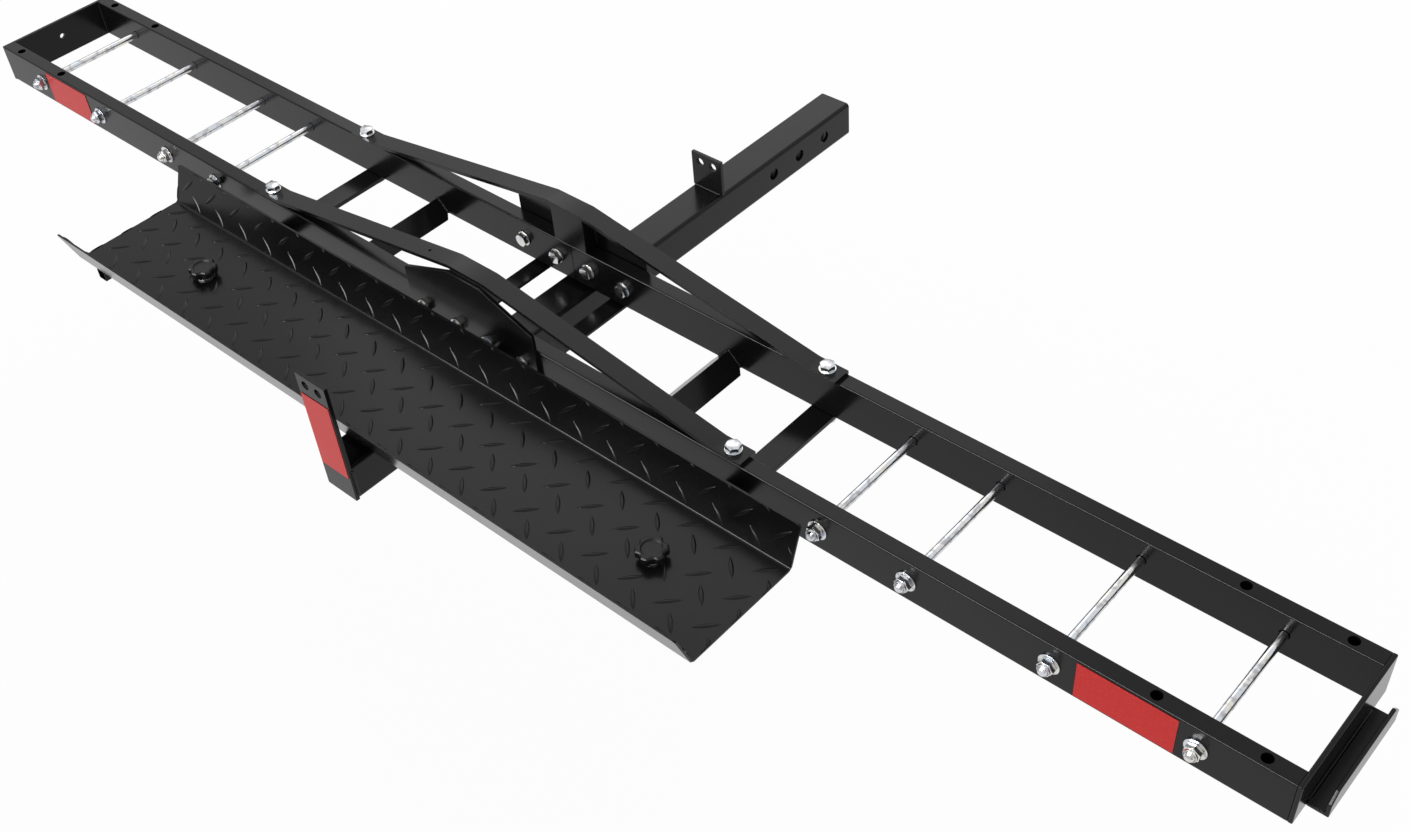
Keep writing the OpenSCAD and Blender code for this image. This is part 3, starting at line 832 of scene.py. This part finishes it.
bar_length = 31 * mm
bar_width = 6 * mm
bar_height = 1.3 * mm


def tread_bar():
    """A lens with pointed ends and a rounded back, sunk a little into the sheet."""
    steps = 8
    sunk = 0.15 * mm
    back = ((-1, 0), (-0.55, 0.85), (0, 1), (0.55, 0.85), (1, 0))
    shape = bmesh.new()
    rows = []
    for step in range(steps + 1):
        along = 2 * step / steps - 1
        swell = 1 - along * along
        height = bar_height * (0.2 + 0.8 * swell ** 0.5)
        rows.append([shape.verts.new((along * bar_length / 2, side * swell * bar_width / 2,
                                      height * rise - sunk)) for side, rise in back])
    for low, high in zip(rows, rows[1:]):
        for step in range(len(back) - 1):
            shape.faces.new((low[step], high[step], high[step + 1], low[step + 1]))
    bmesh.ops.remove_doubles(shape, verts=shape.verts, dist=0.01 * mm)
    bmesh.ops.recalc_face_normals(shape, faces=shape.faces)
    bar = new_piece("template", shape)
    bar.data.shade_smooth()
    bpy.context.scene.collection.objects.unlink(bar)
    return bar


def tread_recipe():
    """Bars on the points of a flat sheet, trimmed at its edges and then folded up with its sides."""
    recipe = Recipe("tread_bars", Bar="Object", Turn="Float", Length="Float", Flat="Float", Bend="Float",
                    Fold="Float", Side="Float", Base="Vector")
    given = recipe.given
    turn = recipe.add("ShaderNodeCombineXYZ", {}, {2: given["Turn"]})
    bar = recipe.add("GeometryNodeObjectInfo", {}, {"Object": given["Bar"]})["Geometry"]
    bars = recipe.add("GeometryNodeInstanceOnPoints", {}, {
        "Points": given["Mesh"], "Instance": bar, "Rotation": turn})
    flat = recipe.add("GeometryNodeRealizeInstances", {}, {"Geometry": bars})
    part = recipe.add("ShaderNodeSeparateXYZ", {}, {0: recipe.add("GeometryNodeInputPosition")})
    arc = given["Bend"] * given["Fold"]
    across = recipe.calc("MINIMUM", recipe.calc("ABSOLUTE", part["Y"]), given["Flat"] + arc + given["Side"])
    past = across - given["Flat"]
    bent = recipe.calc("MAXIMUM", recipe.calc("MINIMUM", past / given["Bend"], given["Fold"]), 0.0)
    up = recipe.calc("MAXIMUM", past - arc, 0.0)
    lift = given["Bend"] - part["Z"]
    out = (recipe.calc("MINIMUM", across, given["Flat"]) + lift * recipe.calc("SINE", bent)
           + up * recipe.calc("COSINE", given["Fold"]))
    rise = given["Bend"] - lift * recipe.calc("COSINE", bent) + up * recipe.calc("SINE", given["Fold"])
    end = given["Length"] / 2
    along = recipe.calc("MAXIMUM", recipe.calc("MINIMUM", part["X"], end), -1 * end)
    folded = recipe.add("ShaderNodeCombineXYZ", {}, {
        0: along, 1: out * recipe.calc("SIGN", part["Y"]), 2: rise})
    placed = recipe.add("ShaderNodeVectorMath", {"operation": "ADD"}, {0: folded, 1: given["Base"]})
    recipe.finish(recipe.add("GeometryNodeSetPosition", {}, {"Geometry": flat, "Position": placed}))
    return recipe


tread_bars = tread_recipe()
bar = tread_bar()
flat_half = floor_half - (sheet_thick + inner_bend) * math.tan(fold / 2)
side_length = (side_rise - sheet_thick) / math.cos(side_lean) - inner_bend * math.tan(fold / 2)
sheet_half = flat_half + inner_bend * fold + side_length
column_pitch = 51.8 * mm
row_pitch = 46.8 * mm
rising_start = (-101.5 * mm, 12.7 * mm)
falling_start = (-80.5 * mm, -6.8 * mm)
columns = math.ceil(ramp_length / column_pitch)
rows = math.ceil(2 * sheet_half / row_pitch)
overhang = bar_length * 0.3
end_trim = 0.6 * mm
lip_trim = 0.4 * mm
knob_clear = 18 * mm


def bar_spots(column_start, row_start):
    """Points for the bars of one direction, on the flat sheet and clear of the knobs."""
    spots = bmesh.new()
    for column in range(-columns, columns):
        for row in range(-rows, rows):
            x = column_start + column * column_pitch
            y = row_start + row * row_pitch
            to_knob = math.hypot(abs(x + ramp_middle.x) - knob_spots["right"][0], y)
            on_sheet = abs(x) < ramp_length / 2 + overhang and abs(y) < sheet_half + overhang
            if on_sheet and to_knob > knob_clear:
                spots.verts.new((x, y, 0))
    return spots


for name, turn, start in (("tread_bars_rising", 45, rising_start),
                          ("tread_bars_falling", 135, falling_start)):
    piece = tread_bars.use(
        new_piece(name, bar_spots(*start)), Bar=bar, Turn=math.radians(turn), Length=ramp_length - end_trim,
        Flat=flat_half, Bend=inner_bend, Fold=fold, Side=side_length - lip_trim,
        Base=(ramp_middle.x, ramp_middle.y, ramp_low.z + sheet_thick), Material=tread_coat)
    fit(piece, "ramp", "black_tread_plate")

hook_ease = 0.8 * mm
hook_bead = 1.8 * mm
hook_inset = 8 * mm
coated_steel(hook_ease, "ramp_hook_bar", steps=3, body="ramp")
hook_low, hook_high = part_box("ramp_hook_bar")
weld("hook_bar_welds", hook_bead,
     *[[(side, hook_low.y + hook_inset, hook_high.z), (side, hook_high.y - hook_inset, hook_high.z)]
       for side in (hook_low.x, hook_high.x)], body="ramp")


# Knobs
# Six-lobed knobs of moulded black nylon on M10 studs, with a sunk middle and a round neck.
# Each bears on a broad zinc plated washer.


def moulded_black():
    """Moulded nylon: a fine spark texture and faint flow marks."""
    material, tree = new_material("black_knob_plastic")
    spark = tree.noise(scale=1500.0, detail=2.0)
    flow = tree.noise(scale=90.0, detail=3.0)
    tree.surface({
        "Base Color": tree.mix(flow, grey(0.005), grey(0.009)),
        "Roughness": 0.3 + 0.15 * flow,
        "Specular IOR Level": 0.22,
        "Normal": tree.bump(spark, depth=0.05 * mm, strength=0.3),
    })
    return material


knob_black = moulded_black()
knob_lobes = 6
knob_set = math.radians(15)
scallop_radius = 8 * mm
scallop_depth = 3 * mm
knob_edge = 2 * mm
knob_ease = 0.7 * mm
neck_height = 3 * mm
neck_radius = 11 * mm
rim_slope = 1 * mm
sunk_radius = 4 * mm


def lobe(radius, height):
    """A ring round the lobes of a knob, with round scallops between them."""
    def ring(angle):
        turn = (angle - knob_set + math.pi / knob_lobes) % (math.tau / knob_lobes) - math.pi / knob_lobes
        middle = radius - scallop_depth + scallop_radius
        side = middle * math.sin(turn)
        if abs(side) >= scallop_radius:
            return radius, height
        return min(radius, middle * math.cos(turn) - math.sqrt(scallop_radius ** 2 - side ** 2)), height
    return ring


def star_knob(side):
    """A knob turned from its rings and set on its spot."""
    low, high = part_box(side + "_knob")
    top = high.z - low.z
    radius = (high.y - low.y) / 2
    shape = turned([
        circle(neck_radius, 0), circle(neck_radius, neck_height), lobe(radius - knob_edge, neck_height),
        lobe(radius, neck_height + knob_edge), lobe(radius, top - knob_edge), lobe(radius - knob_edge, top),
        circle(neck_radius + rim_slope, top), circle(neck_radius, top - knob_edge),
        circle(sunk_radius, top - knob_edge)], steps=120)
    bmesh.ops.translate(shape, vec=(*knob_spots[side], low.z), verts=shape.verts)
    return ease_edges(new_piece(side + "_star_knob", shape, knob_black), knob_ease, steps=3)


knob_washer = washer((washer_high.z - washer_low.z) / 2, washer_bore, washer_thick)
for side, (x, y) in knob_spots.items():
    fit(star_knob(side), side + "_knob", "black_knob_plastic", side + "_knob")
    stud_low, stud_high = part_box(side + "_knob_stud")
    stud = threaded([], 0, stud_high.z - stud_low.z - thread_point)
    plant(side + "_threaded_stud", stud, [((x, y, stud_high.z), downward)], side + "_knob_stud",
          seed=41, body=side + "_knob")
    plant(side + "_knob_washer_ring", knob_washer, [((x, y, knob_boxes[side][0].z), upward)],
          side + "_knob_washer", seed=42, body=side + "_knob_washer")


# Studio
# A plain white floor at the height of the ground under a hitch, and a pale sky. A large soft
# lamp hangs behind the carrier, and a strip lamp before it shows only as a gleam on the gloss.

floor_drop = 0.42
studio_half = 30.0
paper_tone = 0.8
paper_glow = 0.93
floor_shape = bmesh.new()
bmesh.ops.create_grid(floor_shape, x_segments=1, y_segments=1, size=studio_half)
bmesh.ops.translate(floor_shape, vec=(0, 0, cad_box[0][2] - floor_drop), verts=floor_shape.verts)
paper, tree = new_material("white_paper")
path = tree.add("ShaderNodeLightPath")
seen = tree.calc("MAXIMUM", path["Is Camera Ray"], path["Is Glossy Ray"])
seen = tree.calc("MAXIMUM", seen, path["Is Transmission Ray"])
matt = tree.add("ShaderNodeBsdfDiffuse", {}, {"Color": grey(paper_tone)})
lit = tree.add("ShaderNodeEmission", {}, {"Color": grey(1.0), "Strength": 1.0})
tree.add("ShaderNodeOutputMaterial", {}, {
    "Surface": tree.add("ShaderNodeMixShader", {}, {0: seen * paper_glow, 1: matt, 2: lit})})
floor = new_piece("floor", floor_shape, paper)

horizon_glow = 0.5
zenith_gain = 0.52
world = bpy.data.worlds.new("pale_sky")
bpy.context.scene.world = world
world.use_nodes = True
world.node_tree.nodes.clear()
tree = Tree(world.node_tree)
up = tree.add("ShaderNodeSeparateXYZ", {}, {0: tree.add("ShaderNodeTexCoord")["Generated"]})["Z"]
glow = horizon_glow + zenith_gain * tree.ease(up, low=0.05, high=0.45)
glow = tree.calc("MAXIMUM", glow, tree.add("ShaderNodeLightPath")["Is Camera Ray"])
tree.add("ShaderNodeOutputWorld", {}, {
    "Surface": tree.add("ShaderNodeBackground", {}, {"Color": grey(1.0), "Strength": glow})})


def soft_lamp(name, place, target, width, height, power):
    """A rectangular lamp that faces its target."""
    lamp = bpy.data.lights.new(name, "AREA")
    lamp.shape = "RECTANGLE"
    lamp.size = width
    lamp.size_y = height
    lamp.energy = power
    holder = bpy.data.objects.new(name, lamp)
    holder.location = place
    holder.rotation_mode = "QUATERNION"
    holder.rotation_quaternion = (Vector(target) - Vector(place)).to_track_quat("-Z", "Y")
    bpy.context.scene.collection.objects.link(holder)
    return holder


soft_lamp("back_softbox", place=(-1.9, 1.6, 2.7), target=(0, -0.54, 0.08), width=2.6, height=2.6, power=20)
strip = soft_lamp("front_strip", place=(-0.8, -3.2, 1.75), target=(-0.3, -0.54, 0.08), width=3.2, height=1.0,
                  power=210)
strip.visible_diffuse = False

camera_place = Vector((1.2539, -1.5196, 1.3108))
camera_target = Vector((0.3342, -0.5960, 0.0864))
camera_lens = 41.99
camera_roll = 5.14
camera_data = bpy.data.cameras.new("camera")
camera_data.lens = camera_lens
camera = bpy.data.objects.new("camera", camera_data)
camera.rotation_mode = "QUATERNION"
camera.location = camera_place
level_view = (camera_target - camera_place).to_track_quat("-Z", "Y")
roll = Matrix.Rotation(math.radians(-camera_roll), 3, "Z").to_quaternion()
camera.rotation_quaternion = level_view @ roll
bpy.context.scene.collection.objects.link(camera)
bpy.context.scene.camera = camera

bpy.context.scene.view_settings.view_transform = "Standard"
